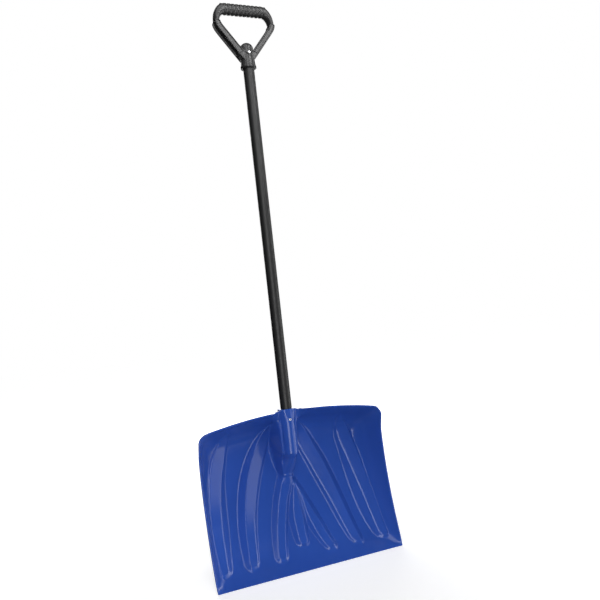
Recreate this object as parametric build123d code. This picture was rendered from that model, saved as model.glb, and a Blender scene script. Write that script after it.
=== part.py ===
from build123d import *
import math
import os

# Snow shovel: a deep plastic scoop on a straight sheathed steel shaft with a D-shaped hand grip.
# Millimetres. +Z runs up the shaft, the scoop opens towards -Y and the cutting edge lies on z = 0.
# Until the last step the shaft's own axis is x = y = 0.

# Scoop outline and depth
blade_width = 459.0
sheet = 3.2
half_width = blade_width / 2 - sheet
top_height = 347.5
top_arch = 0.00045
arch_full_z = 300.0
corner_radius = 18.0
lip_y = -70.0
deep_y = 55.5
curl_y = -42.0
crown = 9.0
crown_full_z = 120.0
wall_power = 12
rim_back_y = -31.0
rim_back_z = 285.0

# Depth of the scoop on its centre line: height, depth
profile = [
    (0, lip_y),
    (20, -36.5),
    (40, -15),
    (80, 11),
    (120, 30),
    (160, 43.5),
    (200, 52),
    (240, deep_y),
    (270, 53.5),
    (300, 42),
    (320, 21),
    (335, -9),
    (top_height, curl_y),
]

# Stiffening ribs pressed through the sheet: height, left edge and right edge of the flat top.
# The outer and inner ribs are the same on both sides; the three that fan out below the hump are not.
outer_rib = [
    (28, 190, 207),
    (120, 180, 205),
    (200, 165, 194),
    (260, 148, 178),
    (300, 141, 158),
    (318, 142, 142),
]
inner_rib = [(28, 119, 138), (120, 97, 122), (200, 68, 100), (260, 42, 74), (300, 32, 52), (323, 30, 30)]
left_fan_rib = [
    (28, -70, -52),
    (60, -60, -42),
    (100, -47, -27),
    (140, -32, -11),
    (160, -23.5, 0),
    (190, -10, 10),
]
middle_fan_rib = [(46, -9, 9), (60, -8, 10), (100, -5, 16), (140, 5, 18), (160, 11, 18), (172, 15, 15)]
right_fan_rib = [(28, 52, 70), (60, 40, 60), (100, 30, 47), (140, 26, 32), (160, 21, 23.5), (174, 16, 16)]
rib_height = [(28, 6), (80, 8), (160, 9), (240, 8), (285, 5), (323, 0.5)]
rib_flank = 16.0
rib_foot = 0.45
rib_edge = 0.12
rib_corner = 6.0
rib_lean = 0.12

# The top lip dips back round the socket: height, half width, depth, run-out
lip_dip = [(300, 22, 8, 12), (320, 22, 3, 16), (top_height, 23.6, -8, 36)]
lip_dip_rise = 30.0

# Hollow hump from the sheet up to the socket: height, half width, crest, shoulder, foot's extra half width
hump = [
    (178, 9, 39, 40, 3),
    (194, 10.3, 33, 35, 5),
    (220, 16, 12, 20, 6),
    (246, 20, -9, 16.5, 6),
    (262, 22, -15.8, 15, 6),
    (300, 22.5, -15.8, 8, 5),
    (330, 21, -15.8, -1, 1),
]
hump_pocket = slice(2, 6)
arc_share = 0.55
crest_power = 2.4
pocket_depth = 10.0

# Socket: round in front, square behind, with webs to the hump's sides
socket_radius = 16.4
socket_back_y = 18.0
socket_floor_z = 254.0
socket_top_z = 351.5
web_heights = (268.0, 290.0, 312.0)
web_thickness = 3.0
web_corners = [(-14, 8), (-20.5, 16), (-25, 32), (25, 32), (20.5, 16), (14, 8)]

# Shaft
shaft_radius = 13.25
core_radius = 11.2
core_wall = 1.0
shaft_low_z = 263.0
shaft_high_z = 1206.0
bore_radius = 13.4
end_gap = 0.5

# Hand grip
grip_low_z = 1160.0
collar_radius = 19.0
hub_radius = 15.8
hub_top_z = 1222.5
dome_rise = 12.0
grip_depth = 26.0
arm_base_z = 1172.0
arm_top_z = 1277.0
bar_z = 1302.0
bar_radius = 14.0
bar_half_length = 50.0
ridge_count = 10
ridge_depth = 0.8
flange = 3.5

# Blind rivets through socket and shaft, and through hub and shaft
rivet_heights = (327.0, 1196.0)
rivet_seat_y = -15.0
rivet_head_radius = 3.5
rivet_head_height = 1.6
rivet_radius = 2.4
rivet_bulb_radius = 3.4
mandrel_radius = 1.2
grip_length = -rivet_seat_y - math.sqrt((core_radius - core_wall) ** 2 - rivet_bulb_radius**2)
bulb_length = 3.5
hole_radius = 2.45
hole_start_y = -30.0
spot_face_radius = 4.4

# The sheet is lofted through level sections
section_count = 45
section_low_z = -6.0
half_columns = 44
slope_step = 0.5


def clamp(value):
    return max(0.0, min(1.0, value))


def ease(value):
    k = clamp(value)
    return k * k * (3 - 2 * k)


def mix(a, b, share):
    return a + (b - a) * share


def along(table, z):
    """Smooth reading of a table of sections at height z."""
    i = max(1, min(len(table) - 1, sum(1 for row in table if row[0] < z)))
    a, b = table[i - 1], table[i]
    before, after = table[max(i - 2, 0)], table[min(i + 1, len(table) - 1)]
    span = b[0] - a[0]
    t = clamp((z - a[0]) / span)
    values = []
    for k in range(1, len(a)):
        slope_a = (b[k] - before[k]) / (b[0] - before[0]) * span
        slope_b = (after[k] - a[k]) / (after[0] - a[0]) * span
        rise = t * t * (3 - 2 * t)
        lead = t * (1 - t) ** 2 * slope_a - t * t * (1 - t) * slope_b
        values.append(mix(a[k], b[k], rise) + lead)
    return values


def profile_y(z):
    """Depth of the scoop on its centre line, straight on past its two ends."""
    inside = min(max(z, 0.0), top_height)
    low, high = profile[:2] if z < 0 else profile[-2:]
    slope = (high[1] - low[1]) / (high[0] - low[0])
    return along(profile, inside)[0] + slope * (z - inside)


def rim_y(z):
    """Depth of the side walls' free edge."""
    side = rim_back_y - (rim_back_y - lip_y) * (1 - z / rim_back_z) ** 2
    return side + (curl_y - rim_back_y) * ease((z - rim_back_z) / (top_height - rim_back_z))


def smooth_min(a, b, width):
    share = clamp(0.5 + 0.5 * (b - a) / width)
    return mix(b, a, share) - width * share * (1 - share)


def rib(table, x, z):
    """How far a flat-topped rib stands out of the sheet, with rounded ends and hollow-footed flanks."""
    low, high = along(table, z)
    middle, half = (low + high) / 2, (high - low) / 2
    corner = min(rib_corner, half)
    out_x = abs(x - middle) - half + corner
    out_z = max(table[0][0] - z, z - table[-1][0]) + corner
    outside = math.hypot(max(out_x, 0), max(out_z, 0)) + min(max(out_x, out_z), 0) - corner
    rise = max(0.0, 1 - outside / rib_flank)
    if rise < rib_foot:
        flank = rise * rise / (2 * rib_foot)
    else:
        flank = rise - rib_foot / 2
    share = smooth_min(flank / (1 - rib_foot / 2), 1.0, rib_edge)
    lean = rib_lean * max(-half, min(half, x - middle)) if table is inner_rib else 0.0
    return (along(rib_height, z)[0] + lean) * max(share, 0.0)


def with_lip_dip(x, z, sheet_y):
    half, depth, run_out = along(lip_dip, z)
    dipped = mix(depth, sheet_y, ease((x - half) / run_out))
    return mix(sheet_y, dipped, ease((z - lip_dip[0][0]) / lip_dip_rise))


def surface_y(x, z):
    """Front face of the moulded sheet."""
    side_x = abs(x)
    level = z + top_arch * x * x * clamp(z / arch_full_z)
    share = min(1.0, side_x / half_width)
    bowed = profile_y(level) - crown * share**2 * clamp(z / crown_full_z)
    y = mix(rim_y(level), bowed, 1 - share**wall_power)
    sides = [rib(table, side_x, z) for table in (outer_rib, inner_rib)]
    fan = [rib(table, x, z) for table in (left_fan_rib, middle_fan_rib, right_fan_rib)]
    return with_lip_dip(side_x, z, y - max(sides + fan))


def surface_slopes(x, z):
    inside = math.copysign(min(abs(x), half_width - slope_step), x)
    across = surface_y(inside + slope_step, z) - surface_y(inside - slope_step, z)
    upwards = surface_y(x, z + slope_step) - surface_y(x, z - slope_step)
    return across / (2 * slope_step), upwards / (2 * slope_step)


def behind(point):
    """Point on the sheet's back face, level with a point on its front face."""
    slope_x, slope_z = surface_slopes(point.X, point.Z)
    reach = sheet * math.sqrt(1 + slope_z**2 / (1 + slope_x**2))
    return point + Vector(-slope_x, 1, 0).normalized() * reach


def sheet_section(z):
    """Closed level section of the sheet; the columns stand closer on the steep side walls."""
    steps = range(-half_columns, half_columns + 1)
    across = [half_width * math.sin(math.pi / 2 * i / half_columns) for i in steps]
    spacing = [i / (2 * half_columns) for i in range(len(across))]
    front = [Vector(x, surface_y(x, z), z) for x in across]
    back = [behind(point) for point in reversed(front)]
    return Wire(
        [
            Edge.make_spline(front, parameters=spacing),
            Edge.make_line(front[-1], back[0]),
            Edge.make_spline(back, parameters=spacing),
            Edge.make_line(back[-1], front[0]),
        ]
    )


def front_outline():
    """Outline of the scoop seen from the front: arched top, rounded top corners."""
    side = half_width + sheet
    side_z = top_height - top_arch * side**2
    top = ThreePointArc((-side, side_z), (0, top_height), (side, side_z))
    outline = make_face(top + Polyline((side, side_z), (side, 0), (-side, 0), (-side, side_z)))
    corners = outline.vertices().group_by(Axis.Y)[-1]
    return fillet(corners, corner_radius)


def scoop_sheet():
    step = (top_height + 2 - section_low_z) / (section_count - 1)
    sections = [sheet_section(section_low_z + i * step) for i in range(section_count)]
    solid = Solid.make_loft(sections, ruled=True)
    return solid & extrude(Plane.XZ * front_outline(), 2 * half_width, both=True)


def hump_section(row, wall):
    """Section of the hump at one height: arc in front, shoulders, feet in or behind the sheet."""
    z, half, crest, shoulder, spread = row
    half -= wall
    crest += wall
    arc_y = mix(crest, shoulder, arc_share**crest_power)
    depth = pocket_depth if wall else sheet / 2
    foot_y = max(profile_y(z) + depth, shoulder + 1)
    right = [(half * arc_share, arc_y, z), (half, shoulder, z), (half + spread, foot_y, z)]
    left = [(-x, y, z) for x, y, z in reversed(right)]
    corners = right + left
    edges = [Edge.make_line(a, b) for a, b in zip(corners, corners[1:])]
    return Wire([Edge.make_three_point_arc(left[-1], (0, crest, z), right[0])] + edges)


def hump_shell():
    return Solid.make_loft([hump_section(row, 0) for row in hump], ruled=True)


def hump_hollow():
    return Solid.make_loft([hump_section(row, sheet) for row in hump[hump_pocket]], ruled=True)


def socket_body():
    back = Pos(0, socket_back_y / 2) * Rectangle(2 * socket_radius, socket_back_y)
    body = Pos(0, 0, socket_floor_z) * extrude(Circle(socket_radius) + back, socket_top_z - socket_floor_z)
    web = extrude(make_face(Polyline(*web_corners, close=True)), web_thickness)
    for z in web_heights:
        body += Pos(0, 0, z) * web
    return body


def drill(z, radius, from_y, to_y):
    """Round hole along Y at height z."""
    return Pos(0, (from_y + to_y) / 2, z) * Rot(90, 0, 0) * Cylinder(radius, to_y - from_y)


def rivet_hole(z):
    """Hole through the front wall, with a flat spot face for the rivet's head."""
    return drill(z, hole_radius, hole_start_y, 0) + drill(z, spot_face_radius, hole_start_y, rivet_seat_y)


def bore(low_z, high_z):
    return Pos(0, 0, (low_z + high_z) / 2) * Cylinder(bore_radius, high_z - low_z)


def blade():
    shell = scoop_sheet() + hump_shell() - hump_hollow() + socket_body()
    shaft_bore = bore(shaft_low_z - end_gap, socket_top_z + 10)
    return shell - shaft_bore - rivet_hole(rivet_heights[0])


def tube(outer, inner):
    length = shaft_high_z - shaft_low_z
    middle = Pos(0, 0, shaft_low_z + length / 2)
    wall = middle * (Cylinder(outer, length) - Cylinder(inner, length))
    return wall - [drill(z, hole_radius, hole_start_y, 0) for z in rivet_heights]


def hub():
    """Round hub under a ball-shaped top, with a thicker collar at its foot."""
    outline = Polyline(
        (0, grip_low_z),
        (collar_radius - 1, grip_low_z),
        (collar_radius, grip_low_z + 2),
        (collar_radius, grip_low_z + 13),
        (hub_radius, grip_low_z + 34),
        (hub_radius, hub_top_z - dome_rise),
    )
    dome_radius = (hub_radius**2 + dome_rise**2) / (2 * dome_rise)
    half_turn = math.asin(hub_radius / dome_radius) / 2
    dome_middle = (dome_radius * math.sin(half_turn), hub_top_z - dome_radius * (1 - math.cos(half_turn)))
    dome = ThreePointArc((hub_radius, hub_top_z - dome_rise), dome_middle, (0, hub_top_z))
    closing = Line((0, hub_top_z), (0, grip_low_z))
    return revolve(make_face(Plane.XZ * (outline + dome + closing)), Axis.Z)


def mirrored_outline(points, radii):
    """Closed outline in XZ from the corners of its right half, with rounded corners."""
    corners = points + [(-x, z) for x, z in reversed(points)]
    path = FilletPolyline(*corners, radius=radii + radii[::-1], close=True)
    return make_face(path)


def arms():
    outer = mirrored_outline([(8, arm_base_z), (78, 1262.3), (66, bar_z + bar_radius)], [0.5, 22, 24])
    opening = mirrored_outline([(22, 1216), (65.5, 1267), (47, bar_z - bar_radius - 0.5)], [4, 9, 9])
    ring = extrude(Plane.XZ * (outer - opening), grip_depth / 2, both=True)
    height = arm_top_z - arm_base_z
    below_bar = Pos(0, 0, arm_base_z + height / 2) * Box(200, 2 * grip_depth, height)
    return (ring & below_bar) - channels()


def channels():
    """Recesses along the outer and inner side of both arms."""
    outer_side = Polyline((14, 1187), (74, 1264.5), (82, 1262), (82, 1240), (22, 1180), close=True)
    inner_side = Polyline((34, 1223.5), (67, 1262.2), (60, 1266), (28, 1226), close=True)
    half_depth = grip_depth / 2 - flange
    cuts = []
    for side in (outer_side, inner_side):
        cut = extrude(Plane.XZ * make_face(side), half_depth, both=True)
        cuts += [cut, mirror(cut, Plane.YZ)]
    return cuts


def ridged_bar():
    """Round hand bar with shallow finger ridges."""
    pitch = 2 * bar_half_length / ridge_count
    edges = Curve()
    for i in range(ridge_count):
        x = -bar_half_length + i * pitch
        low = bar_radius - ridge_depth
        edges += ThreePointArc((x, low), (x + pitch / 2, bar_radius), (x + pitch, low))
    edges += Polyline(
        (bar_half_length, bar_radius - ridge_depth),
        (bar_half_length, 0),
        (-bar_half_length, 0),
        (-bar_half_length, bar_radius - ridge_depth),
    )
    return Pos(0, 0, bar_z) * revolve(make_face(Plane.XZ * edges), Axis.X)


def elbow():
    """Right-hand bend from the bar down to the arm, thinner towards the arm."""
    sections = [
        ((bar_half_length - 2, bar_z), 90, bar_radius - 0.4),
        ((61.5, 1293), 42, 10.5),
        ((70, 1273), 0, 6.2),
    ]
    outlines = []
    for (x, z), turn, half in sections:
        outlines.append(Pos(x, 0, z) * Rot(0, turn, 0) * Ellipse(half, grip_depth / 2))
    return loft(outlines)


def d_grip():
    bend = elbow()
    body = hub() + arms() + ridged_bar() + bend + mirror(bend, Plane.YZ)
    return body - bore(grip_low_z - 10, shaft_high_z + end_gap) - rivet_hole(rivet_heights[1])


def lathe_along_y(points):
    """Turned piece about the Y axis from corners of radius and distance behind the seat."""
    turned = revolve(make_face(Polyline(*points, close=True)), Axis.Y)
    return Pos(0, rivet_seat_y, 0) * turned


def rivet():
    return lathe_along_y(
        [
            (mandrel_radius, -rivet_head_height),
            (1.9, -rivet_head_height),
            (rivet_head_radius, -0.4),
            (rivet_head_radius, 0),
            (rivet_radius, 0),
            (rivet_radius, grip_length),
            (rivet_bulb_radius, grip_length),
            (rivet_bulb_radius, grip_length + 2),
            (rivet_radius, grip_length + bulb_length),
            (mandrel_radius, grip_length + bulb_length),
        ]
    )


def mandrel():
    """Broken-off stem inside the rivet, with its head behind the bulb."""
    head_y = grip_length + bulb_length + 0.1
    return lathe_along_y(
        [
            (0, 0.3 - rivet_head_height),
            (mandrel_radius, 0.3 - rivet_head_height),
            (mandrel_radius, head_y),
            (rivet_radius, head_y),
            (rivet_radius, head_y + 1.4),
            (0, head_y + 2.2),
        ]
    )


def at_both_ends(piece):
    low_z, high_z = rivet_heights
    return Pos(0, 0, low_z) * piece + Pos(0, 0, high_z) * piece


parts = {
    "blade": blade(),
    "shaft_core": tube(core_radius, core_radius - core_wall),
    "shaft_sleeve": tube(shaft_radius, core_radius),
    "d_grip": d_grip(),
    "rivet_bodies": at_both_ends(rivet()),
    "rivet_mandrels": at_both_ends(mandrel()),
}

# The row's origin is under the middle of the scoop's depth, not under the shaft.
blade_middle_y = (lip_y + deep_y + sheet) / 2
os.makedirs("parts", exist_ok=True)
for name, piece in parts.items():
    export_step(Pos(0, -blade_middle_y, 0) * piece, f"parts/{name}.step")
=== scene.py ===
import math

import bmesh
import bpy
import numpy as np
from mathutils import Matrix, Vector


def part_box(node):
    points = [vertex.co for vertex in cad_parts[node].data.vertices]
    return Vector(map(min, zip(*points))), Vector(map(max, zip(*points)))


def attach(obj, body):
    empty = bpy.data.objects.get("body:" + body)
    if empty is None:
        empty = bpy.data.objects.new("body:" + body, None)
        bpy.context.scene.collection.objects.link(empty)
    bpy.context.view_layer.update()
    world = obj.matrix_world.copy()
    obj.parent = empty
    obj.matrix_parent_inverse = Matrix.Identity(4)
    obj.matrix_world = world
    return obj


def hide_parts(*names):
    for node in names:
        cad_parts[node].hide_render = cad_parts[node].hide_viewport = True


# Snow shovel: the scoop, shaft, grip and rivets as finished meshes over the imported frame.
# Shapes are worked out in millimetres about the shaft's axis and written in metres in the frame.
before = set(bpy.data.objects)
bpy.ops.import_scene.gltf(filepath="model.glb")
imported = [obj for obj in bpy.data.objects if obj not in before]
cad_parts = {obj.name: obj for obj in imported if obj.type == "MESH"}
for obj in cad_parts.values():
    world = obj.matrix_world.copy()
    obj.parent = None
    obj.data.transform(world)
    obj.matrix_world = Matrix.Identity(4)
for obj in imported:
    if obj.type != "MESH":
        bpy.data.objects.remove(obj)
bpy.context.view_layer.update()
MM = 0.001
sleeve_low, sleeve_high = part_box("shaft_sleeve")
blade_low, blade_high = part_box("blade")
SHAFT_Y = (sleeve_low.y + sleeve_high.y) / 2

# Scoop
SHEET = 3.2
HALF_WIDTH = 226.3
TOP_HEIGHT = 347.5
TOP_ARCH = 0.00045
ARCH_FULL_Z = 300.0
CORNER_RADIUS = 18.0
LIP_Y = -70.0
CURL_Y = -42.0
CROWN = 9.0
CROWN_FULL_Z = 120.0
WALL_POWER = 12
RIM_BULGE = 0.8
RIM_ARCS = 4
BOTTOM_Z = 1.2
RIM_BACK_Y = -31.0
RIM_BACK_Z = 285.0
PROFILE = [
    (0, LIP_Y), (20, -36.5), (40, -15), (80, 11), (120, 30), (160, 43.5), (200, 52),
    (240, 55.5), (270, 53.5), (300, 42), (320, 21), (335, -9), (TOP_HEIGHT, CURL_Y),
]

# Ribs: height above the cutting edge, low and high edge of the flat top
OUTER_RIB = [
    (28, 190, 207), (120, 180, 205), (200, 165, 194), (260, 148, 178), (300, 141, 158), (318, 142, 142),
]
INNER_RIB = [(28, 119, 138), (120, 97, 122), (200, 68, 100), (260, 42, 74), (300, 32, 52), (323, 30, 30)]
LEFT_FAN_RIB = [
    (28, -70, -52), (60, -60, -42), (100, -47, -27), (140, -32, -11), (160, -23.5, 0), (190, -10, 10),
]
MIDDLE_FAN_RIB = [(46, -9, 9), (60, -8, 10), (100, -5, 16), (140, 5, 18), (160, 11, 18), (172, 15, 15)]
RIGHT_FAN_RIB = [(28, 52, 70), (60, 40, 60), (100, 30, 47), (140, 26, 32), (160, 21, 23.5), (174, 16, 16)]
# How far the ribs stand out of the sheet, by height above the cutting edge
RIB_HEIGHT = [(28, 7.5), (80, 10), (160, 10.5), (240, 9), (285, 5.5), (323, 0.5)]
RIB_FLANK_SLOPE = 0.86
RIB_EDGE = 1.9
RIB_CORNER = 6.0
SIDE_TILT = 0.255
FLAT_TOP_HEIGHT = 3.0
SIDE_RIBS = (OUTER_RIB, INNER_RIB)
FAN_RIBS = ((LEFT_FAN_RIB, 0.0), (MIDDLE_FAN_RIB, -0.05), (RIGHT_FAN_RIB, -0.1))

# Small bar across the foot of the hump, and the two marks above it
BRIDGE_Z = 194.0
BRIDGE_HALF_WIDTH = 11.0
BRIDGE_HALF_HEIGHT = 2.6
BRIDGE_RISE = 1.5
BRIDGE_EDGE = 1.2
MARK_PLACES = (2.5, 8.0)
MARK_HALF_WIDTH = 1.1
MARK_EDGE = 0.9
MARK_TOP_Z = 209.0
MARK_FOOT_FADE = 2.0
MARK_TOP_FADE = 5.0
MARK_RISE = 0.9

# Hump round the socket: height, half width, crest, shoulder, squareness, half width of its shelf, run-out
HUMP = [
    (168, 9, 36, 37, 2.4, 9, 8), (194, 10.3, 32, 34, 2.4, 11.5, 7), (220, 15, 12, 20, 2.4, 16.7, 8),
    (246, 18, -9, 16.5, 2.8, 20, 9), (262, 18.8, -16, 15, 3, 20.8, 10), (281, 18.8, -16, 14, 3, 21, 11),
    (320, 18.8, -16, 3, 3, 21.5, 14), (TOP_HEIGHT, 19.5, -16, -8, 4, 22.5, 36),
]
SHELF_EDGE = 0.13
HUMP_TUBE_RADIUS = 16.7
HUMP_TUBE_Z = 234.0
HUMP_TUBE_FADE = 18.0
HUMP_UPPER_Z = 300.0
HUMP_UPPER_FADE = 30.0
COLLAR_RISE = 3.5
COLLAR_HALF_WIDTH = 27.0
COLLAR_FADE = 11.0
RIVET_HEIGHTS = (327.0, 1196.0)
RIVET_SEAT_Y = -15.0
SPOT_FACE_RADIUS = 4.4
SPOT_FACE_EDGE = 0.9
SPOT_FACE_FADE = 0.6

# Socket
SOCKET_RADIUS = 16.4
SOCKET_BACK_Y = 18.0
SOCKET_FLOOR_Z = 254.0
SOCKET_TOP_Z = 351.5
BORE_RADIUS = 13.4
BORE_FLOOR_Z = 262.5
WEB_HEIGHTS = (268.0, 290.0, 312.0)
WEB_THICKNESS = 3.0
WEB_CORNERS = [(-14, 8), (-20.5, 16), (-25, 32), (25, 32), (20.5, 16), (14, 8)]
SOCKET_BACK_CORNER = 3.0
# Rounding of the socket's rims: inset and distance from the rim's end
SOCKET_ROUNDING = [(1.2, 0), (0.35, 0.35), (0, 1.2)]
BORE_ROUNDING = [(0.8, 0), (0.2, 0.25), (0, 0.9)]


# ---------------------------------------------------------------- shapes in numbers

def clamp(value):
    return np.clip(value, 0.0, 1.0)


def ease(value):
    k = clamp(value)
    return k * k * (3 - 2 * k)


def mix(a, b, share):
    return a + (b - a) * share


def along(table, z):
    """Smooth reading of a table at heights z, one array per column."""
    rows = np.array(table, float)
    z = np.asarray(z, float)
    i = np.clip(np.searchsorted(rows[:, 0], z), 1, len(rows) - 1)
    a, b = rows[i - 1], rows[i]
    before, after = rows[np.maximum(i - 2, 0)], rows[np.minimum(i + 1, len(rows) - 1)]
    span = (b[..., 0] - a[..., 0])[..., None]
    t = clamp((z - a[..., 0])[..., None] / span)
    slope_a = (b - before) / (b - before)[..., :1] * span
    slope_b = (after - a) / (after - a)[..., :1] * span
    values = a + (b - a) * t * t * (3 - 2 * t)
    values = values + t * (1 - t) ** 2 * slope_a - t * t * (1 - t) * slope_b
    return [values[..., k] for k in range(1, rows.shape[1])]


def profile_y(z):
    inside = np.clip(z, 0, TOP_HEIGHT)
    low_slope = (PROFILE[1][1] - PROFILE[0][1]) / (PROFILE[1][0] - PROFILE[0][0])
    high_slope = (PROFILE[-1][1] - PROFILE[-2][1]) / (PROFILE[-1][0] - PROFILE[-2][0])
    slope = np.where(z < 0, low_slope, high_slope)
    return along(PROFILE, inside)[0] + slope * (z - inside)


def rim_y(z):
    side = RIM_BACK_Y - (RIM_BACK_Y - LIP_Y) * (1 - z / RIM_BACK_Z) ** 2
    return side + (CURL_Y - RIM_BACK_Y) * ease((z - RIM_BACK_Z) / (TOP_HEIGHT - RIM_BACK_Z))


def sheet_y(x, z):
    """Plain sheet without ribs: the bowed profile with its side walls."""
    share = np.minimum(1.0, np.abs(x) / HALF_WIDTH)
    level = z + TOP_ARCH * x * x * clamp(z / ARCH_FULL_Z)
    bowed = profile_y(level) - CROWN * share**2 * clamp(z / CROWN_FULL_Z)
    return mix(rim_y(level), bowed, 1 - share**WALL_POWER)


def soft_excess(value, edge):
    """The part of a value above zero, with its start rounded over an edge on each side."""
    return np.where(value > edge, value, np.maximum(value + edge, 0) ** 2 / (4 * edge))


def with_rib(y, table, tilt, x, z, edge):
    """The surface with one rib: a flat top at its own tilt, straight flanks, rounded lower end."""
    low, high = along(table, z)
    middle, half = (low + high) / 2, (high - low) / 2
    corner = np.minimum(RIB_CORNER, half)
    out_x = np.abs(x - middle) - half + corner
    out_z = np.maximum(table[0][0] - z, z - table[-1][0]) + corner
    outside = np.hypot(np.maximum(out_x, 0), np.maximum(out_z, 0))
    outside = outside + np.minimum(np.maximum(out_x, out_z), 0) - corner
    drop = soft_excess(outside, edge)
    level_top = sheet_y(middle, z) + tilt * np.clip(x - middle, -half, half)
    height = along(RIB_HEIGHT, z)[0]
    top = mix(sheet_y(x, z), level_top, ease(height / FLAT_TOP_HEIGHT)) - height
    return np.minimum(y, top + RIB_FLANK_SLOPE * drop)


def with_hump(y, x, z):
    """The surface with the hump over the socket, a narrow shelf beside it and its run-out."""
    side_x = np.abs(x)
    half, crest, shoulder, power, shelf, blend = along(HUMP, z)
    hump_y = crest + (shoulder - crest) * np.minimum(1, side_x / half) ** power
    tube_y = -np.sqrt(np.maximum(HUMP_TUBE_RADIUS**2 - x * x, 0))
    hump_y = mix(hump_y, np.minimum(hump_y, tube_y), ease((z - HUMP_TUBE_Z) / HUMP_TUBE_FADE))
    out = (side_x - shelf) / blend
    upper = ease((z - HUMP_UPPER_Z) / HUMP_UPPER_FADE)
    joined = mix(hump_y, y, mix(clamp(soft_excess(out, SHELF_EDGE)), ease(out), upper))
    humped = mix(np.minimum(y, joined), joined, upper)
    return np.where(z > HUMP[0][0], humped, y)


def with_marks(y, x, z):
    """The surface with the small bar at the hump's foot and the two marks above it."""
    across = ease((BRIDGE_HALF_WIDTH - np.abs(x)) / BRIDGE_EDGE)
    y = y - BRIDGE_RISE * across * ease((BRIDGE_HALF_HEIGHT - np.abs(z - BRIDGE_Z)) / BRIDGE_EDGE)
    upright = ease((z - BRIDGE_Z) / MARK_FOOT_FADE) * ease((MARK_TOP_Z - z) / MARK_TOP_FADE)
    for place in MARK_PLACES:
        y = y - MARK_RISE * ease((MARK_HALF_WIDTH - np.abs(x - place)) / MARK_EDGE) * upright
    return y


def surface_y(x, z, edge=RIB_EDGE):
    """Front face of the scoop at x, z, the ribs, the hump and the rivet's spot face included."""
    y = sheet_y(x, z)
    for table in SIDE_RIBS:
        y = with_rib(y, table, -SIDE_TILT, np.abs(x), z, edge)
    for table, tilt in FAN_RIBS:
        y = with_rib(y, table, tilt, x, z, edge)
    y = with_marks(with_hump(y, x, z), x, z)
    from_rivet = np.hypot(x, z - RIVET_HEIGHTS[0])
    seat = ease((SPOT_FACE_RADIUS + SPOT_FACE_FADE - from_rivet) / SPOT_FACE_EDGE)
    return mix(y, np.maximum(y, RIVET_SEAT_Y), seat)


def spread(low, high, step, features):
    """Places from low to high, closer together round each feature (place, reach, extra per mm)."""
    fine = np.linspace(low, high, 4001)
    density = np.full_like(fine, 1 / step)
    for place, reach, extra in features:
        density += extra * np.exp(-(((fine - place) / reach) ** 2))
    count = np.concatenate([[0], np.cumsum((density[1:] + density[:-1]) / 2 * np.diff(fine))])
    return fine, count / count[-1]


def top_z(x):
    """Height of the scoop's arched top edge, which rises to the socket's collar in the middle."""
    return TOP_HEIGHT - TOP_ARCH * x * x + COLLAR_RISE * ease((COLLAR_HALF_WIDTH - np.abs(x)) / COLLAR_FADE)


# The scoop's grid: how many rows and columns, their plain spacing, and where they draw together,
# as (place, reach, extra per mm) for rows and (reach, extra per mm) for columns
ROWS = 163
COLUMNS = 292
ROW_STEP = 3.2
COLUMN_STEP = 3.4
ROW_FEATURES = [
    (28, 9, 0.45), (46, 6, 0.25), (184, 16, 0.2), (262, 4, 0.4), (312, 12, 0.35),
    (327, 5, 1.1), (346, 4, 1.0), (0, 4, 0.8),
]
AT_MIDDLE = (2, 0.3)
AT_RIB_EDGE = (2.0, 1.0)
AT_RIB_FOOT = (2.0, 0.8)
AT_HUMP_SIDE = (2.5, 0.6)
AT_SHELF = (2.5, 0.7)
AT_WALL = (10, 0.3)
AT_RIM = (4, 0.6)
WALL_X = 215
SPOT_FACE_REACH = 1.6
SPOT_FACE_EXTRA = 0.8
SPOT_FACE_NEAR_Z = 290
SPOT_FACE_NEAR_FADE = 25
row_places, row_count = spread(0.0, TOP_HEIGHT, ROW_STEP, ROW_FEATURES)
row_heights = np.interp(np.linspace(0, 1, ROWS), row_count, row_places)


def column_places(height):
    """Columns of the scoop's grid at one height, following the ribs' and the hump's edges."""
    features = [(0, *AT_MIDDLE)]
    flank = float(along(RIB_HEIGHT, height)[0]) / RIB_FLANK_SLOPE
    sided = [(table, (-1, 1)) for table in SIDE_RIBS] + [(table, (1,)) for table, tilt in FAN_RIBS]
    for table, sides in sided:
        low, high = (float(edge) for edge in along(table, height))
        for side in sides:
            features += [(side * low, *AT_RIB_EDGE), (side * high, *AT_RIB_EDGE)]
            features += [(side * (low - flank), *AT_RIB_FOOT), (side * (high + flank), *AT_RIB_FOOT)]
    reading = along(HUMP, max(height, HUMP[0][0]))
    half, shelf = float(reading[0]), float(reading[4])
    near = float(ease((height - SPOT_FACE_NEAR_Z) / SPOT_FACE_NEAR_FADE))
    at_spot_face = (SPOT_FACE_REACH, SPOT_FACE_EXTRA * near)
    for side in (-1, 1):
        features += [(side * half, *AT_HUMP_SIDE), (side * shelf, *AT_SHELF)]
        features += [(side * WALL_X, *AT_WALL), (side * HALF_WIDTH, *AT_RIM)]
        features += [(side * SPOT_FACE_RADIUS, *at_spot_face)]
    corner = clamp((height - (TOP_HEIGHT - CORNER_RADIUS)) / CORNER_RADIUS)
    reach = HALF_WIDTH - CORNER_RADIUS * (1 - math.sqrt(1 - float(corner) ** 2))
    fine, count = spread(-reach, reach, COLUMN_STEP, features)
    return np.interp(np.linspace(0, 1, COLUMNS), count, fine)


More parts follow.
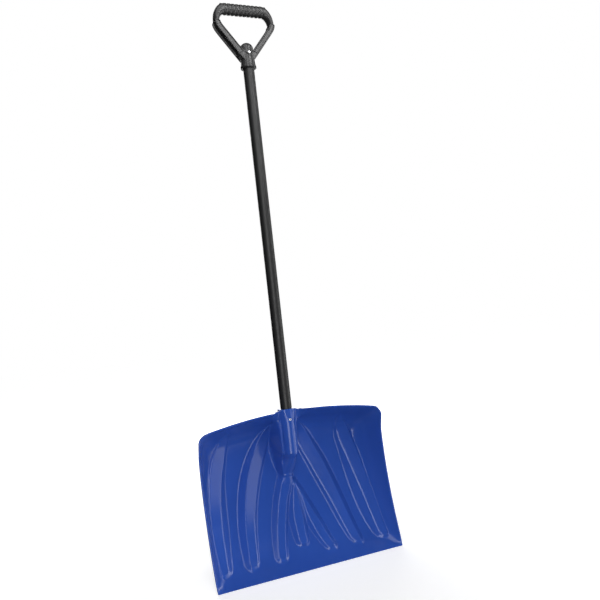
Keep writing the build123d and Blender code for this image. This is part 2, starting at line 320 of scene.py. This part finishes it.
def write_mesh(name, points, faces, smooth=True):
    """A mesh object from points in mm about the shaft's axis."""
    places = np.asarray(points, float) * MM
    places[:, 1] += SHAFT_Y
    mesh = bpy.data.meshes.new(name)
    mesh.from_pydata(places.tolist(), [], [tuple(int(i) for i in face) for face in faces])
    mesh.validate()
    mesh.update()
    built = bmesh.new()
    built.from_mesh(mesh)
    bmesh.ops.recalc_face_normals(built, faces=built.faces)
    built.to_mesh(mesh)
    built.free()
    piece = bpy.data.objects.new(name, mesh)
    bpy.context.scene.collection.objects.link(piece)
    for polygon in mesh.polygons:
        polygon.use_smooth = smooth
    return piece


def grid_faces(rows, columns, start=0, closed=False):
    """Quads of a grid whose points run row by row."""
    last = columns if closed else columns - 1
    corners = []
    for r in range(rows - 1):
        for c in range(last):
            n = (c + 1) % columns
            a = start + r * columns
            corners.append((a + c, a + n, a + columns + n, a + columns + c))
    return corners


SLOPE_STEP = 1.5
SLOPE_EDGE = 4.0


def slope_across(x, z):
    """Slope of the surface along x, read through softened rib edges."""
    ahead = surface_y(x + SLOPE_STEP, z, SLOPE_EDGE)
    return (ahead - surface_y(x - SLOPE_STEP, z, SLOPE_EDGE)) / (2 * SLOPE_STEP)


def back_face(x, y, z):
    """The back of the sheet: the front moved along its softened normals by the thickness."""
    inner_x = HALF_WIDTH - SLOPE_STEP
    inside = np.sign(x) * np.minimum(np.abs(x), inner_x)
    slope_x = np.where(np.abs(x) > inner_x, slope_across(inside, z), slope_across(x, z))
    above = surface_y(x, z + SLOPE_STEP, SLOPE_EDGE)
    slope_z = (above - surface_y(x, z - SLOPE_STEP, SLOPE_EDGE)) / (2 * SLOPE_STEP)
    normal = np.stack([-slope_x, np.ones_like(x), -slope_z], -1)
    normal /= np.linalg.norm(normal, axis=-1, keepdims=True)
    return np.stack([x, y, z], -1) + normal * SHEET


def border():
    """Row and column of the points round the grid, and of their neighbours inside it."""
    ring = [(0, c) for c in range(COLUMNS)] + [(r, COLUMNS - 1) for r in range(1, ROWS)]
    ring += [(ROWS - 1, c) for c in range(COLUMNS - 2, -1, -1)] + [(r, 0) for r in range(ROWS - 2, 0, -1)]
    inner = [(min(max(r, 1), ROWS - 2), min(max(c, 1), COLUMNS - 2)) for r, c in ring]
    return ring, inner


def rim(front, back):
    """Points of the rounded rim between the faces, and faces that join it to both of them."""
    ring, inner = border()
    edge_front = np.array([front[k] for k in ring])
    edge_back = np.array([back[k] for k in ring])
    out = edge_front - np.array([front[k] for k in inner])
    out /= np.linalg.norm(out, axis=1, keepdims=True)
    count = len(ring)
    start = 2 * ROWS * COLUMNS
    front_ring = [r * COLUMNS + c for r, c in ring]
    rings = [front_ring]
    points = []
    for k in range(1, RIM_ARCS):
        turn = math.pi * k / RIM_ARCS
        share = (1 - math.cos(turn)) / 2
        points.append(mix(edge_front, edge_back, share) + out * SHEET / 2 * RIM_BULGE * math.sin(turn))
        rings.append([start + i for i in range(count)])
        start += count
    rings.append([ROWS * COLUMNS + i for i in front_ring])
    faces = []
    for a, b in zip(rings, rings[1:]):
        faces += [(a[i], a[i - 1], b[i - 1], b[i]) for i in range(count)]
    return points, faces


def gather(shells):
    """Several (points, faces) shells as one."""
    points, faces = [], []
    for shell_points, shell_faces in shells:
        start = len(points)
        points += shell_points
        faces += [tuple(start + i for i in face) for face in shell_faces]
    return points, faces


def scoop():
    """The moulded sheet: front face, back face and the rounded rim between them."""
    x = np.array([column_places(height) for height in row_heights])
    z = BOTTOM_Z + (row_heights / TOP_HEIGHT)[:, None] * (top_z(x) - BOTTOM_Z)
    y = surface_y(x, z)
    front = np.stack([x, y, z], -1)
    back = back_face(x, y, z)
    rim_points, rim_faces = rim(front, back)
    places = np.concatenate([front.reshape(-1, 3), back.reshape(-1, 3)] + rim_points)
    faces = grid_faces(ROWS, COLUMNS) + grid_faces(ROWS, COLUMNS, ROWS * COLUMNS) + rim_faces
    low = np.array([blade_low.x, blade_low.y - SHAFT_Y, blade_low.z]) / MM
    high = np.array([blade_high.x, blade_high.y - SHAFT_Y, blade_high.z]) / MM
    return write_mesh("scoop", np.clip(places, low, high), faces)


def rounded_back(radius, back_y, corner, turn):
    """Distance from the axis to a D outline, round in front and square behind, at one angle."""
    away = Vector((math.cos(turn), math.sin(turn)))
    if away.y <= 0:
        return radius
    best = min(radius / max(abs(away.x), 1e-6), back_y / away.y)
    centre = Vector((math.copysign(radius - corner, away.x), back_y - corner))
    at = away * best
    if abs(at.x) > abs(centre.x) and at.y > centre.y:
        along_ray = away.dot(centre)
        off = centre.length_squared - along_ray**2
        best = along_ray + math.sqrt(max(corner**2 - off, 0))
    return best


def socket():
    """Tube for the shaft, with rounded rims and a closed floor."""
    count = 96
    turns = [2 * math.pi * k / count for k in range(count)]
    outer = [rounded_back(SOCKET_RADIUS, SOCKET_BACK_Y, SOCKET_BACK_CORNER, turn) for turn in turns]
    loops = []
    for inset, height in SOCKET_ROUNDING:
        loops.append(([r - inset for r in outer], SOCKET_FLOOR_Z + height))
    for inset, drop in reversed(SOCKET_ROUNDING):
        loops.append(([r - inset for r in outer], SOCKET_TOP_Z - drop))
    for extra, drop in BORE_ROUNDING:
        loops.append(([BORE_RADIUS + extra] * count, SOCKET_TOP_Z - drop))
    loops.append(([BORE_RADIUS] * count, BORE_FLOOR_Z))
    points = []
    for radii, height in loops:
        points += [(r * math.cos(t), r * math.sin(t), height) for r, t in zip(radii, turns)]
    faces = grid_faces(len(loops), count, closed=True)
    faces.append(tuple(range(count)))
    last = (len(loops) - 1) * count
    faces.append(tuple(last + k for k in range(count)))
    return write_mesh("socket", points, faces)


def webs():
    """Level webs from the socket to the inside of the hump."""
    count = len(WEB_CORNERS)
    shells = []
    for height in WEB_HEIGHTS:
        points = [(x, y, z) for z in (height, height + WEB_THICKNESS) for x, y in WEB_CORNERS]
        faces = grid_faces(2, count, closed=True)
        faces += [tuple(range(count)), tuple(count + k for k in range(count))]
        shells.append((points, faces))
    piece = write_mesh("socket_webs", *gather(shells), smooth=False)
    round_edges(piece, 0.5)
    return piece


def round_edges(piece, width):
    bevel = piece.modifiers.new("edges", "BEVEL")
    bevel.width = width * MM
    bevel.segments = 3
    bevel.limit_method = "ANGLE"
    apply_modifiers(piece)


def apply_modifiers(piece):
    bpy.context.view_layer.update()
    graph = bpy.context.evaluated_depsgraph_get()
    mesh = bpy.data.meshes.new_from_object(piece.evaluated_get(graph))
    piece.modifiers.clear()
    piece.data = mesh


# ---------------------------------------------------------------- turned pieces

def turned(outline, count, axis="z", at=(0.0, 0.0, 0.0)):
    """A closed turned piece from (radius, distance along the axis) corners."""
    points = []
    for radius, place in outline:
        for k in range(count):
            turn = 2 * math.pi * k / count
            a, b = radius * math.cos(turn), radius * math.sin(turn)
            local = {"z": (a, b, place), "y": (a, place, b), "x": (place, a, b)}[axis]
            points.append(tuple(p + q for p, q in zip(local, at)))
    faces = grid_faces(len(outline), count, closed=True)
    last = (len(outline) - 1) * count
    if outline[0] == outline[-1]:
        points = points[:last]
        faces = [tuple(i % last for i in face) for face in faces]
    else:
        faces += [tuple(range(count)), tuple(last + k for k in range(count))]
    return points, faces


SLEEVE_RADIUS = 13.25
SLEEVE_CHAMFER = 0.4
CORE_RADIUS = 11.2


def sleeve():
    """The black sheath over the shaft's tube."""
    low, high = sleeve_low.z / MM, sleeve_high.z / MM
    outline = [(CORE_RADIUS, low), (SLEEVE_RADIUS - SLEEVE_CHAMFER, low)]
    outline.append((SLEEVE_RADIUS, low + SLEEVE_CHAMFER))
    rings = 40
    for k in range(1, rings):
        outline.append((SLEEVE_RADIUS, mix(low, high, k / rings)))
    outline += [(SLEEVE_RADIUS, high - SLEEVE_CHAMFER), (SLEEVE_RADIUS - SLEEVE_CHAMFER, high)]
    outline += [(CORE_RADIUS, high), (CORE_RADIUS, low)]
    return write_mesh("shaft_sheath", *turned(outline, 112))


# ---------------------------------------------------------------- grip

HUB_RADIUS = 15.8
HUB_TOP_Z = 1222.5
COLLAR_OUTER = 19.0
GRIP_LOW_Z = 1160.0
HUB_BORE_TOP_Z = 1206.5
HUB_NECK_Z = 1167.0
HUB_SHOULDER_Z = 1194.0
HUB_DOME = 12.0
BAR_Z = 1302.0
BAR_RADIUS = 14.0
BAR_HALF_LENGTH = 50.0
RIDGES = 10
RIDGE_DEPTH = 1.3
RIDGE_SQUARENESS = 6
BAR_END = 6.0
DISH_DEPTH = 1.9
TIP_RADIUS = 0.05
VOXEL = 0.46
KEPT_SHARE = 0.34
SHARP_ANGLE = math.radians(65)


def hub():
    """Hub of the grip: a collar, a tapered neck and a domed top, turned about the shaft's axis."""
    neck = COLLAR_OUTER - 1.3
    outline = [(COLLAR_OUTER - 1.2, GRIP_LOW_Z), (COLLAR_OUTER - 0.3, GRIP_LOW_Z + 0.4)]
    outline += [(COLLAR_OUTER, GRIP_LOW_Z + 1.5), (COLLAR_OUTER, GRIP_LOW_Z + 5)]
    outline += [(COLLAR_OUTER - 0.2, GRIP_LOW_Z + 5.6), (neck, GRIP_LOW_Z + 6.4)]
    steps = 8
    for k in range(steps + 1):
        share = k / steps
        outline.append((mix(neck, HUB_RADIUS, ease(share)), mix(HUB_NECK_Z, HUB_SHOULDER_Z, share)))
    dome_radius = (HUB_RADIUS**2 + HUB_DOME**2) / (2 * HUB_DOME)
    full = math.asin(HUB_RADIUS / dome_radius)
    arcs = 12
    for k in range(arcs):
        turn = full * (1 - k / arcs)
        outline.append((dome_radius * math.sin(turn), HUB_TOP_Z - dome_radius * (1 - math.cos(turn))))
    outline.append((TIP_RADIUS, HUB_TOP_Z))
    return turned(outline, 96)


def bar():
    """Hand bar with flat-topped finger ridges between narrow grooves, along X."""
    pitch = 2 * BAR_HALF_LENGTH / RIDGES
    end = BAR_HALF_LENGTH + BAR_END
    outline = [(TIP_RADIUS, -end), (BAR_RADIUS - 1, -end)]
    steps = 12
    for ridge in range(RIDGES):
        for k in range(steps):
            share = k / steps
            dip = RIDGE_DEPTH * abs(math.cos(math.pi * share)) ** RIDGE_SQUARENESS
            outline.append((BAR_RADIUS - dip, -BAR_HALF_LENGTH + (ridge + share) * pitch))
    outline += [(BAR_RADIUS - RIDGE_DEPTH, BAR_HALF_LENGTH), (BAR_RADIUS - 1, end), (TIP_RADIUS, end)]
    return turned(outline, 96, axis="x", at=(0.0, 0.0, BAR_Z))


# The right arm and elbow as stations from the hub to the bar: x, z, half thickness, half depth,
# squareness of the section, depth of the side recesses
ARM_STATIONS = [
    (2.0, 1175.4, 7.1, 13.0, 9, 0.0),
    (10.0, 1185.7, 7.1, 13.0, 9, 0.0),
    (17.0, 1194.7, 7.1, 13.0, 9, 0.5),
    (20.0, 1198.6, 7.1, 13.0, 9, 3.6),
    (35.0, 1218.0, 7.1, 13.0, 9, 4.0),
    (50.0, 1237.3, 7.0, 13.0, 9, 4.0),
    (60.0, 1250.2, 6.9, 13.0, 9, 4.0),
    (65.5, 1258.0, 6.7, 13.0, 9, 4.0),
    (68.5, 1265.0, 6.5, 13.0, 9, 3.8),
    (69.2, 1269.5, 6.4, 13.0, 8, 3.4),
    (69.2, 1271.5, 6.8, 13.1, 3.2, 0.4),
    (68.6, 1276.0, 7.4, 13.2, 2.6, 0.0),
    (66.0, 1285.5, 8.6, 13.3, 2.4, 0.0),
    (61.0, 1293.5, 10.3, 13.5, 2.2, 0.0),
    (55.0, 1299.0, 12.3, 13.7, 2.1, 0.0),
    (49.0, 1301.6, 13.5, 13.7, 2.0, 0.0),
    (44.0, 1302.0, 12.8, 12.8, 2.0, 0.0),
]


BOX_SQUARENESS = 9
ROUND_FADE = 5
FULL_RECESS = 4
FLANGE = 3.0
DISH_OUTER_RIM = 2.4
DISH_INNER_RIM = 1.6


def box_outline(half, depth, count):
    """Evenly spaced points round a box, from the middle of its outer side."""
    corners = [(half, 0), (half, depth), (-half, depth), (-half, -depth), (half, -depth), (half, 0)]
    runs = [math.dist(a, b) for a, b in zip(corners, corners[1:])]
    reached = np.concatenate([[0], np.cumsum(runs)])
    places = (np.arange(count) + 0.5) / count * reached[-1]
    across, deep = zip(*corners)
    return np.interp(places, reached, across), np.interp(places, reached, deep)


def arm_section(half, depth, square, recess, count):
    """Points (outwards, forwards) of one section, from a hollow-sided box to an ellipse."""
    turn = 2 * np.pi * (np.arange(count) + 0.5) / count
    box_n, box_y = box_outline(half, depth, count)
    roundness = clamp((BOX_SQUARENESS - square) / ROUND_FADE)
    hollow = recess * ease((depth - FLANGE - np.abs(box_y)) / 1.2) * (np.abs(box_n) > half - 0.01)
    dish = DISH_DEPTH * clamp(recess / FULL_RECESS)
    dish = dish * ease(half - DISH_OUTER_RIM - box_n) * ease(box_n + half - DISH_INNER_RIM)
    dish = dish * (np.abs(box_y) > depth - 0.01)
    n = mix(box_n - np.sign(box_n) * hollow, half * np.cos(turn), roundness)
    y = mix(box_y - np.sign(box_y) * dish, depth * np.sin(turn), roundness)
    return list(zip(n.tolist(), y.tolist()))


def arm(side):
    """One arm with its elbow, swept through its stations."""
    count = 128
    stations = np.array(ARM_STATIONS, float)
    lengths = np.concatenate([[0], np.cumsum(np.hypot(*np.diff(stations[:, :2], axis=0).T))])
    table = [(a, *row) for a, row in zip(lengths, ARM_STATIONS)]
    places = np.arange(0, lengths[-1], 1.0).tolist() + [lengths[-1]]
    read = np.array(along(table, np.array(places)))
    points = []
    for i, place in enumerate(places):
        x, z, half, depth, square, recess = read[:, i]
        ahead, behind = read[:2, min(i + 1, len(places) - 1)], read[:2, max(i - 1, 0)]
        run = Vector(ahead - behind).normalized()
        outward = Vector((run.y, -run.x))
        for n, y in arm_section(half, depth, max(square, 2.0), max(recess, 0.0), count):
            points.append((side * (x + outward.x * n), y, z + outward.y * n))
    faces = grid_faces(len(places), count, closed=True)
    last = (len(places) - 1) * count
    faces += [tuple(range(count)), tuple(last + k for k in range(count))]
    return points, faces


HUB_LINES = (((0, 1187.0), (21.5, 1211.0)), ((0, 1170.0), (21.0, 1192.5)))
HUB_LINE_WIDTH = 0.8
HUB_LINE_REACH = 17.1
HUB_LINE_FRONT = 13.4
HUB_LINE_ROOT = 9.0
HUB_LINE_EDGE = 0.3


def hub_line(low, high, side, facing):
    """One raised line as a five-cornered bar between two (x, z) places, on one side and face."""
    steps = 14
    run = (Vector(high) - Vector(low)).normalized()
    across = Vector((run.y, -run.x)) * HUB_LINE_WIDTH
    points = []
    for k in range(steps + 1):
        at = Vector(low).lerp(Vector(high), k / steps)
        proud = max(HUB_LINE_FRONT, math.sqrt(max(HUB_LINE_REACH**2 - at.x**2, 0)))
        edge = proud - HUB_LINE_EDGE
        root = HUB_LINE_ROOT
        for way, depth in ((-1.6, root), (-1.0, edge), (0, proud), (1.0, edge), (1.6, root)):
            place = at + across * way
            points.append((side * place.x, facing * depth, place.y))
    faces = grid_faces(steps + 1, 5, closed=True)
    faces += [tuple(range(5)), tuple(steps * 5 + k for k in range(5))]
    return points, faces


def hub_lines():
    """Raised lines, front and back, that carry the arms' edges across the hub and meet in a V."""
    return [
        hub_line(low, high, side, facing)
        for facing in (-1, 1) for side in (-1, 1) for low, high in HUB_LINES
    ]


def soften(piece, iterations):
    smooth = piece.modifiers.new("soften", "SMOOTH")
    smooth.factor = 0.5
    smooth.iterations = iterations


def grip():
    """Hub, arms, elbows and lines melted into one moulding with small fillets, and the bar."""
    piece = write_mesh("grip_moulding", *gather([hub(), arm(1), arm(-1)] + hub_lines()))
    melt = piece.modifiers.new("melt", "REMESH")
    melt.mode = "VOXEL"
    melt.voxel_size = VOXEL * MM
    soften(piece, 4)
    thin = piece.modifiers.new("thin", "DECIMATE")
    thin.ratio = KEPT_SHARE
    soften(piece, 2)
    apply_modifiers(piece)
    cut_bore(piece)
    add_bar(piece)
    return piece


def add_bar(piece):
    """The ridged bar keeps its own crisp shell inside the same moulding."""
    shell = write_mesh("bar_shell", *bar())
    built = bmesh.new()
    built.from_mesh(piece.data)
    built.from_mesh(shell.data)
    built.to_mesh(piece.data)
    built.free()
    bpy.data.objects.remove(shell)


def cut(piece, cutter):
    """Take one solid out of another and drop the cutter."""
    difference = piece.modifiers.new("cut", "BOOLEAN")
    difference.operation = "DIFFERENCE"
    difference.solver = "EXACT"
    difference.object = cutter
    apply_modifiers(piece)
    bpy.data.objects.remove(cutter)


def cut_bore(piece):
    """Bore for the shaft and the spot face for the rivet, cut as exact solids."""
    outline = [(BORE_RADIUS, GRIP_LOW_Z - 10), (BORE_RADIUS, HUB_BORE_TOP_Z)]
    bore = write_mesh("bore_cut", *turned(outline, 96))
    seat_outline = [(SPOT_FACE_RADIUS, -30.0), (SPOT_FACE_RADIUS, RIVET_SEAT_Y)]
    seat = write_mesh("seat_cut", *turned(seat_outline, 64, "y", (0, 0, RIVET_HEIGHTS[1])))
    cut(piece, bore)
    cut(piece, seat)
    for polygon in piece.data.polygons:
        polygon.use_smooth = True
    piece.data.set_sharp_from_angle(angle=SHARP_ANGLE)


# ---------------------------------------------------------------- rivets

# Outlines as (radius, distance behind the rivet's seat)
RIVET_SHELL = [
    (1.25, -1.0), (1.35, -1.35), (1.7, -1.58), (2.3, -1.6), (2.7, -1.5), (3.1, -1.2), (3.4, -0.75),
    (3.5, -0.35), (3.42, -0.05), (2.4, 0.0), (2.4, 5.4), (3.3, 5.4), (3.3, 7.4), (2.6, 8.7),
    (1.25, 8.9), (1.25, -1.0),
]
RIVET_STEM = [
    (TIP_RADIUS, -1.25), (0.7, -1.2), (1.1, -1.02), (1.18, -0.8), (1.18, 9.0), (2.3, 9.1), (2.3, 10.4),
    (TIP_RADIUS, 11.0),
]


def at_rivets(name, outline, count):
    """The same turned piece at both rivets, as one object."""
    places = [(0, RIVET_SEAT_Y, height) for height in RIVET_HEIGHTS]
    return write_mesh(name, *gather([turned(outline, count, "y", place) for place in places]))


# ---------------------------------------------------------------- materials

class Shader:
    """Short ways to build one material's nodes."""

    def __init__(self, name):
        self.material = bpy.data.materials.new(name)
        self.material.use_nodes = True
        self.tree = self.material.node_tree
        self.surface = self.tree.nodes["Principled BSDF"]
        self.place = self.add("ShaderNodeTexCoord").outputs["Object"]

    def add(self, kind, **settings):
        node = self.tree.nodes.new(kind)
        for key, value in settings.items():
            setattr(node, key, value)
        return node

    def link(self, start, end):
        self.tree.links.new(start, end)

    def set(self, **values):
        for key, value in values.items():
            self.surface.inputs[key.replace("_", " ")].default_value = value

    def stretched(self, scale):
        mapping = self.add("ShaderNodeMapping")
        mapping.inputs["Scale"].default_value = scale
        self.link(self.place, mapping.inputs["Vector"])
        return mapping.outputs["Vector"]

    def noise(self, scale, detail=3.0, roughness=0.5, place=None):
        node = self.add("ShaderNodeTexNoise")
        node.inputs["Scale"].default_value = scale
        node.inputs["Detail"].default_value = detail
        node.inputs["Roughness"].default_value = roughness
        self.link(place or self.place, node.inputs["Vector"])
        return node.outputs["Fac"]

    def ramp(self, value, stops):
        node = self.add("ShaderNodeValToRGB")
        elements = node.color_ramp.elements
        while len(elements) < len(stops):
            elements.new(0.5)
        for element, (place, colour) in zip(elements, stops):
            element.position = place
            element.color = (*colour, 1.0)
        self.link(value, node.inputs["Fac"])
        return node.outputs["Color"]

    def remap(self, value, low, high, to_low, to_high):
        node = self.add("ShaderNodeMapRange")
        for key, number in zip(("From Min", "From Max", "To Min", "To Max"), (low, high, to_low, to_high)):
            node.inputs[key].default_value = number
        self.link(value, node.inputs["Value"])
        return node.outputs["Result"]

    def bump(self, height, strength, distance, under=None):
        node = self.add("ShaderNodeBump")
        node.inputs["Strength"].default_value = strength
        node.inputs["Distance"].default_value = distance
        self.link(height, node.inputs["Height"])
        if under:
            self.link(under, node.inputs["Normal"])
        return node.outputs["Normal"]


def blue_plastic():
    """Glossy moulded polypropylene: faint flow mottling and orange peel."""
    shader = Shader("blue_moulded_plastic")
    flow = shader.noise(1.0, 4.0, 0.55, shader.stretched((14, 14, 5)))
    colour = shader.ramp(flow, [(0.3, (0.0255, 0.0810, 0.395)), (0.7, (0.0290, 0.0890, 0.426))])
    shader.link(colour, shader.surface.inputs["Base Color"])
    haze = shader.noise(60, 4.0, 0.6)
    shader.link(shader.remap(haze, 0.3, 0.7, 0.15, 0.24), shader.surface.inputs["Roughness"])
    peel = shader.bump(shader.noise(420, 2.0, 0.5), 0.05, 0.0004)
    swell = shader.bump(shader.noise(26, 2.0, 0.5), 0.06, 0.002, peel)
    shader.link(swell, shader.surface.inputs["Normal"])
    shader.set(IOR=1.48, Specular_IOR_Level=0.5)
    return shader.material


def black_sheath():
    """Extruded resin sheath: satin black with faint lengthwise drawing lines."""
    shader = Shader("black_resin_sheath")
    lines = shader.noise(1.0, 5.0, 0.65, shader.stretched((900, 900, 6)))
    mottle = shader.noise(90, 4.0, 0.6)
    colour = shader.ramp(lines, [(0.3, (0.0070, 0.0072, 0.0078)), (0.75, (0.0165, 0.0168, 0.0175))])
    shader.link(colour, shader.surface.inputs["Base Color"])
    shader.link(shader.remap(mottle, 0.3, 0.7, 0.40, 0.52), shader.surface.inputs["Roughness"])
    drawn = shader.bump(lines, 0.25, 0.0002)
    grain = shader.bump(shader.noise(1500, 2.0, 0.5), 0.15, 0.00015, drawn)
    shader.link(grain, shader.surface.inputs["Normal"])
    shader.set(IOR=1.5)
    return shader.material


def black_grip():
    """Moulded black nylon with a fine leathery mould grain."""
    shader = Shader("black_moulded_grip")
    mottle = shader.noise(35, 4.0, 0.6)
    colour = shader.ramp(mottle, [(0.3, (0.0230, 0.0230, 0.0235)), (0.7, (0.0330, 0.0330, 0.0340))])
    shader.link(colour, shader.surface.inputs["Base Color"])
    shader.link(shader.remap(mottle, 0.3, 0.7, 0.30, 0.42), shader.surface.inputs["Roughness"])
    cells = shader.add("ShaderNodeTexVoronoi")
    cells.inputs["Scale"].default_value = 1300
    shader.link(shader.place, cells.inputs["Vector"])
    pores = shader.bump(cells.outputs["Distance"], 0.10, 0.0001)
    waves = shader.bump(shader.noise(300, 3.0, 0.5), 0.04, 0.0002, pores)
    shader.link(waves, shader.surface.inputs["Normal"])
    shader.set(IOR=1.5)
    return shader.material


def metal(name, dark, light, rough_low, rough_high, scale):
    """Bare metal with turned marks."""
    shader = Shader(name)
    marks = shader.noise(scale, 5.0, 0.7, shader.stretched((1, 0.15, 1)))
    colour = shader.ramp(marks, [(0.25, dark), (0.75, light)])
    shader.link(colour, shader.surface.inputs["Base Color"])
    shader.link(shader.remap(marks, 0.3, 0.7, rough_low, rough_high), shader.surface.inputs["Roughness"])
    shader.link(shader.bump(marks, 0.2, 0.0001), shader.surface.inputs["Normal"])
    shader.set(Metallic=1.0)
    return shader.material


def floor_with_painted_glow():
    """Matt white floor with a painted glow that grows with the distance from the object, so it meets the
    room.
    """
    shader = Shader("pale_floor_with_painted_glow")
    colour = shader.ramp(shader.noise(3, 3.0), [(0.3, (0.80, 0.80, 0.80)), (0.7, (0.83, 0.83, 0.83))])
    shader.link(colour, shader.surface.inputs["Base Color"])
    reach = shader.add("ShaderNodeVectorMath", operation="LENGTH")
    shader.link(shader.place, reach.inputs[0])
    # Painted glow: emission strength rises from 0.47 near the object to 1.0 at 2.6 m out
    glow = shader.remap(reach.outputs["Value"], 0.5, 2.6, 0.47, 1.0)
    shader.link(glow, shader.surface.inputs["Emission Strength"])
    shader.set(Roughness=0.9, Specular_IOR_Level=0.1, Emission_Color=(1, 1, 1, 1))
    return shader.material


# ---------------------------------------------------------------- assembly

def dress(piece, material, slot, *nodes):
    piece.data.materials.clear()
    piece.data.materials.append(material)
    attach(piece, "root")
    if nodes:
        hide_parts(*nodes)


blue = blue_plastic()
dress(scoop(), blue, "blade", "blade")
dress(socket(), blue, "blade")
dress(webs(), blue, "blade")
dress(sleeve(), black_sheath(), "shaft_sleeve", "shaft_sleeve")
dress(grip(), black_grip(), "d_grip", "d_grip")
aluminium = metal("rivet_aluminium", (0.80, 0.81, 0.82), (0.93, 0.94, 0.95), 0.38, 0.5, 2500)
dress(at_rivets("rivet_shells", RIVET_SHELL, 64), aluminium, "rivet", "rivet_bodies")
zinc = metal("zinc_plated_stem", (0.60, 0.61, 0.63), (0.80, 0.81, 0.82), 0.35, 0.5, 3000)
dress(at_rivets("rivet_stems", RIVET_STEM, 48), zinc, "mandrel", "rivet_mandrels")
steel = metal("coated_core_steel", (0.10, 0.10, 0.11), (0.20, 0.20, 0.21), 0.35, 0.5, 400)
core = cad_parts["shaft_core"]
core.data.materials.clear()
core.data.materials.append(steel)


# ---------------------------------------------------------------- stage, light and camera

def floor():
    """Pale floor that catches shadows and sends no light back to the object."""
    bpy.ops.mesh.primitive_plane_add(size=60, location=(0, 0, 0))
    plane = bpy.context.object
    plane.name = "studio_floor"
    plane.data.materials.append(floor_with_painted_glow())
    plane.visible_glossy = False
    plane.visible_diffuse = False
    plane.visible_shadow = False


# Camera: angles in radians, the distance from the shaft's axis and the height in metres,
# the sensor's width and the lens in millimetres
VIEW_AZIMUTH = 0.40143
VIEW_DISTANCE = 1.651995
VIEW_HEIGHT = 0.519356
VIEW_PAN = 0.0364
VIEW_TILT = 0.0483
VIEW_ROLL = -0.11215
SENSOR = 36.0
LENS = 42.32616


def camera():
    data = bpy.data.cameras.new("camera")
    data.sensor_width = SENSOR
    data.lens = LENS
    data.clip_end = 50
    view = bpy.data.objects.new("camera", data)
    turn = VIEW_AZIMUTH + VIEW_PAN
    level_reach = math.cos(VIEW_TILT)
    ahead = Vector((math.sin(turn) * level_reach, math.cos(turn) * level_reach, math.sin(VIEW_TILT)))
    level = Vector((math.cos(turn), -math.sin(turn), 0))
    upright = level.cross(ahead)
    right = level * math.cos(VIEW_ROLL) + upright * math.sin(VIEW_ROLL)
    up = upright * math.cos(VIEW_ROLL) - level * math.sin(VIEW_ROLL)
    view.matrix_world = Matrix((right, up, -ahead)).transposed().to_4x4()
    away = Vector((-math.sin(VIEW_AZIMUTH), -math.cos(VIEW_AZIMUTH), 0)) * VIEW_DISTANCE
    view.location = Vector((0, SHAFT_Y, VIEW_HEIGHT)) + away
    bpy.context.scene.collection.objects.link(view)
    bpy.context.scene.camera = view


# Softboxes: name, azimuth, height, distance, size, power, the height aimed at, and beam angle
SOFTBOXES = [
    ("key", -20, 0.45, 2.4, (0.95, 4.9), 57, 0.45, 180),
    ("fill", 55, -0.59, 1.9, (1.16, 2.62), 13.5, -0.59, 180),
    ("strip", 80, 0.5, 2.2, (0.45, 4.0), 24, 0.5, 180),
    ("top", -40, 3.0, 1.3, (2.2, 2.2), 30, 0.3, 180),
    ("grip_upper", 25, 2.2, 1.4, (0.9, 0.9), 0.95, 1.28, 30),
    ("grip_level", 25, 1.37, 1.4, (0.9, 0.7), 0.75, 1.3, 30),
    ("back", 165, 1.5, 3.0, (3.0, 2.4), 85, 0.5, 180),
]


def softbox(name, azimuth, height, distance, size, power, aim_height, beam):
    """Area light at an azimuth in degrees from straight ahead (-Y), positive towards +X."""
    data = bpy.data.lights.new(name, "AREA")
    data.shape = "RECTANGLE"
    data.size, data.size_y = size
    data.energy = power
    data.spread = math.radians(beam)
    light = bpy.data.objects.new(name, data)
    turn = math.radians(azimuth)
    light.location = (distance * math.sin(turn), -distance * math.cos(turn), height)
    light.rotation_euler = (Vector((0, 0, aim_height)) - light.location).to_track_quat("-Z", "Y").to_euler()
    light.visible_camera = False
    bpy.context.scene.collection.objects.link(light)


def surroundings():
    """White room: seen by the camera, but the object is lit only by the softboxes."""
    world = bpy.data.worlds.new("studio")
    world.use_nodes = True
    world.node_tree.nodes["Background"].inputs["Color"].default_value = (1, 1, 1, 1)
    world.cycles_visibility.glossy = False
    world.cycles_visibility.diffuse = False
    bpy.context.scene.world = world


floor()
camera()
surroundings()
for settings in SOFTBOXES:
    softbox(*settings)
bpy.context.scene.view_settings.view_transform = "Standard"
